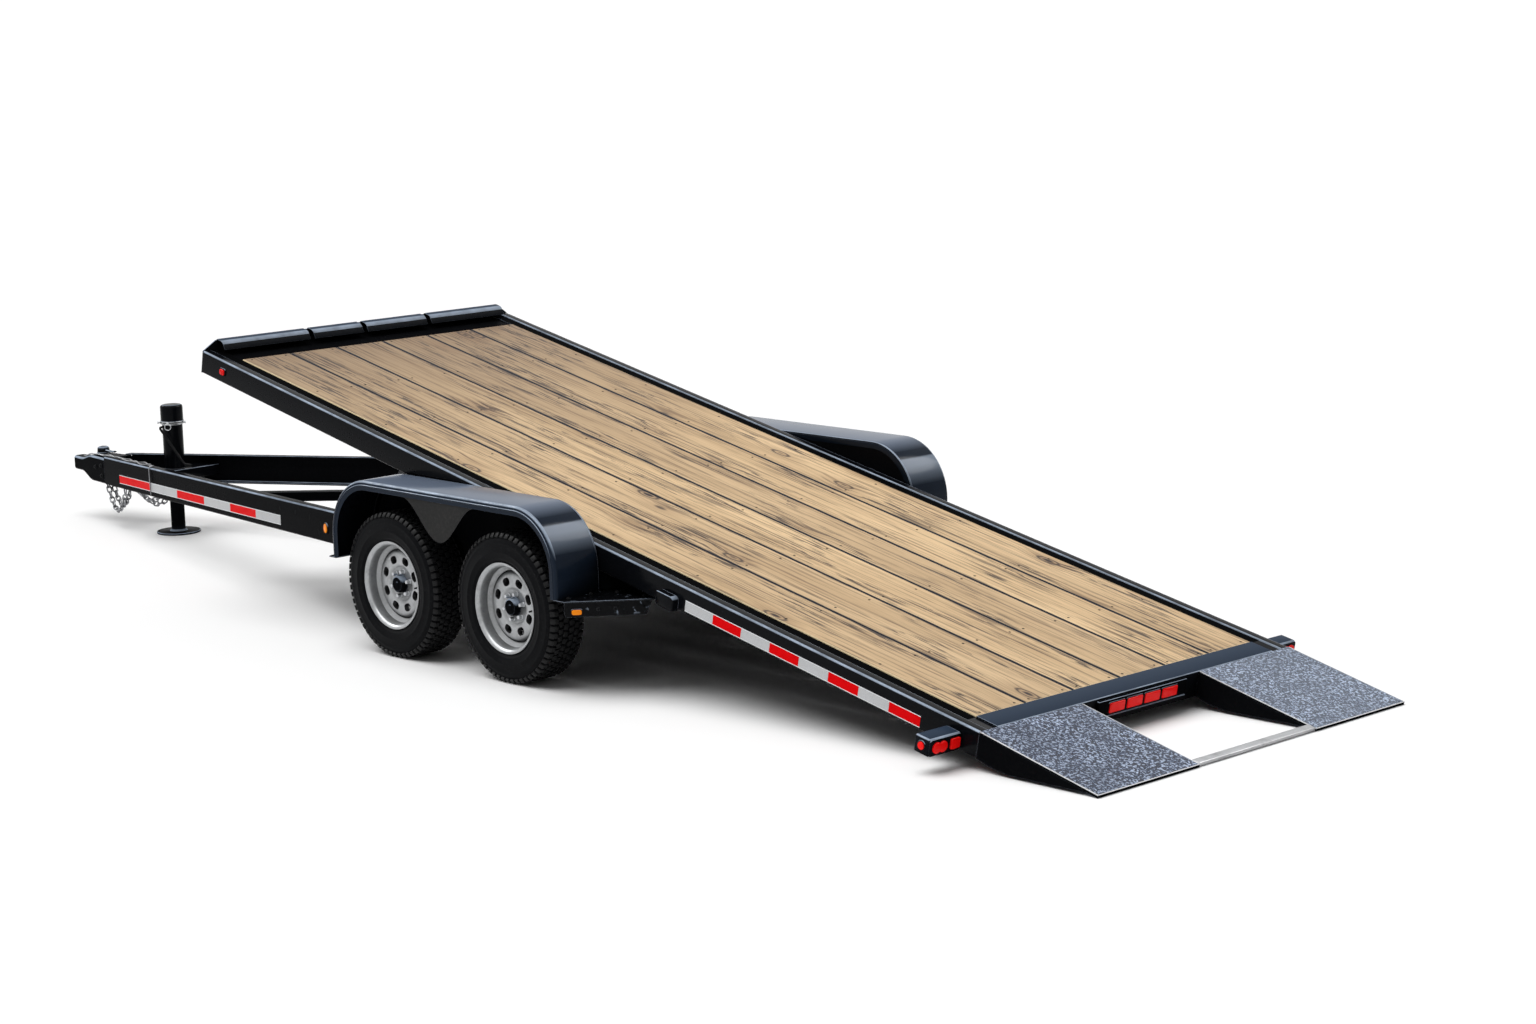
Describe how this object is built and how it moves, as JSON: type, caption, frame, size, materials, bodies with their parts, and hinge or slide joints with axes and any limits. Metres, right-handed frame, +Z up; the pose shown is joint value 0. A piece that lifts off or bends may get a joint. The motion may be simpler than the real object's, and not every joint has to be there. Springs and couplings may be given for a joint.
{
  "type": "full-tilt car hauler trailer",
  "caption": "Tandem-axle car hauler with a full-length tilting wooden deck, fixed approach plates, V tongue, coupler and drop-leg jack; deck tilts, wheels spin, jack leg slides.",
  "frame": {"origin": "on the ground, on the centre line, half way along the trailer as it stands parked", "axes": "-X is the coupler end, +X the rear, -Y the trailer's left side, +Z up"},
  "size_m": [8.8622, 2.5076, 1.3467],
  "materials": {
    "bare_steel": "worn bare steel",
    "black_paint": "gloss black paint",
    "black_satin": "satin black paint",
    "blue_grey_steel": "blue-grey painted steel",
    "grit_coat": "rough anti-slip coating",
    "pine_wood": "treated pine",
    "red_lens": "red lamp lens",
    "tyre_rubber": "matt black rubber",
    "wheel_silver": "silver painted steel",
    "zinc_steel": "zinc plated"
  },
  "bodies": {
    "chassis": {"axle_front": "black_satin", "axle_rear": "black_satin", "coupler": "black_paint", "coupler_latch": "black_paint", "equalizer_left": "black_satin", "equalizer_right": "black_satin", "fender_left": "black_paint", "fender_right": "black_paint", "jack_handle": "black_satin", "jack_tube": "black_paint", "leaf_spring_front_left": "black_satin", "leaf_spring_front_right": "black_satin", "leaf_spring_rear_left": "black_satin", "leaf_spring_rear_right": "black_satin", "main_frame": "black_paint", "safety_chain_left": "zinc_steel", "safety_chain_right": "zinc_steel", "tongue_rail_left": "black_paint", "tongue_rail_right": "black_paint", "tongue_v_brace": "black_paint"},
    "deck": {"approach_plate_left": "grit_coat", "approach_plate_right": "grit_coat", "bulkhead": "black_paint", "deck_frame": "black_satin", "deck_rail_left": "black_paint", "deck_rail_right": "black_paint", "floor_boards": "pine_wood", "light_bar": "black_paint", "rear_header": "blue_grey_steel", "tail_lamp_left": "red_lens", "tail_lamp_right": "red_lens", "tail_light_box_left": "black_paint", "tail_light_box_right": "black_paint", "tip_cross_bar": "bare_steel"},
    "jack_leg": {"jack_leg": "black_paint"},
    "barrel": {"tilt_cylinder_barrel": "black_satin"},
    "rod": {"tilt_cylinder_rod": "zinc_steel"},
    "wheel_front_left": {"tyre_front_left": "tyre_rubber", "wheel_front_left": "wheel_silver"},
    "wheel_front_right": {"tyre_front_right": "tyre_rubber", "wheel_front_right": "wheel_silver"},
    "wheel_rear_left": {"tyre_rear_left": "tyre_rubber", "wheel_rear_left": "wheel_silver"},
    "wheel_rear_right": {"tyre_rear_right": "tyre_rubber", "wheel_rear_right": "wheel_silver"}
  },
  "joints": [
    {"name": "deck_tilt", "type": "hinge", "parent": "chassis", "child": "deck", "pos_m": [1.26789, 0, 0.53], "axis": [0, -1, 0], "range_deg": [0, 11.92]},
    {"name": "jack_extend", "type": "slide", "parent": "chassis", "child": "jack_leg", "axis": [0, 0, 1], "range_m": [0, 0.18]},
    {"name": "barrel_swing", "type": "hinge", "parent": "chassis", "child": "barrel", "pos_m": [-1.19111, 0, 0.44], "axis": [0, -1, 0], "range_deg": [-21.92, 0]},
    {"name": "rod_slide", "type": "slide", "parent": "barrel", "child": "rod", "axis": [0.8778, 0, 0.4789], "range_m": [-0.14342, 0]},
    {"name": "spin_front_left", "type": "hinge", "parent": "chassis", "child": "wheel_front_left", "pos_m": [0.30389, -1.1225, 0.345], "axis": [0, 1, 0], "continuous": true},
    {"name": "spin_front_right", "type": "hinge", "parent": "chassis", "child": "wheel_front_right", "pos_m": [0.30389, 1.1225, 0.345], "axis": [0, 1, 0], "continuous": true},
    {"name": "spin_rear_left", "type": "hinge", "parent": "chassis", "child": "wheel_rear_left", "pos_m": [1.14189, -1.1225, 0.345], "axis": [0, 1, 0], "continuous": true},
    {"name": "spin_rear_right", "type": "hinge", "parent": "chassis", "child": "wheel_rear_right", "pos_m": [1.14189, 1.1225, 0.345], "axis": [0, 1, 0], "continuous": true}
  ],
  "couplings": [
    {"joint": "barrel_swing", "follows": "deck_tilt", "ratio": -1.838},
    {"joint": "rod_slide", "follows": "deck_tilt", "m_per_rad": -0.68892}
  ]
}
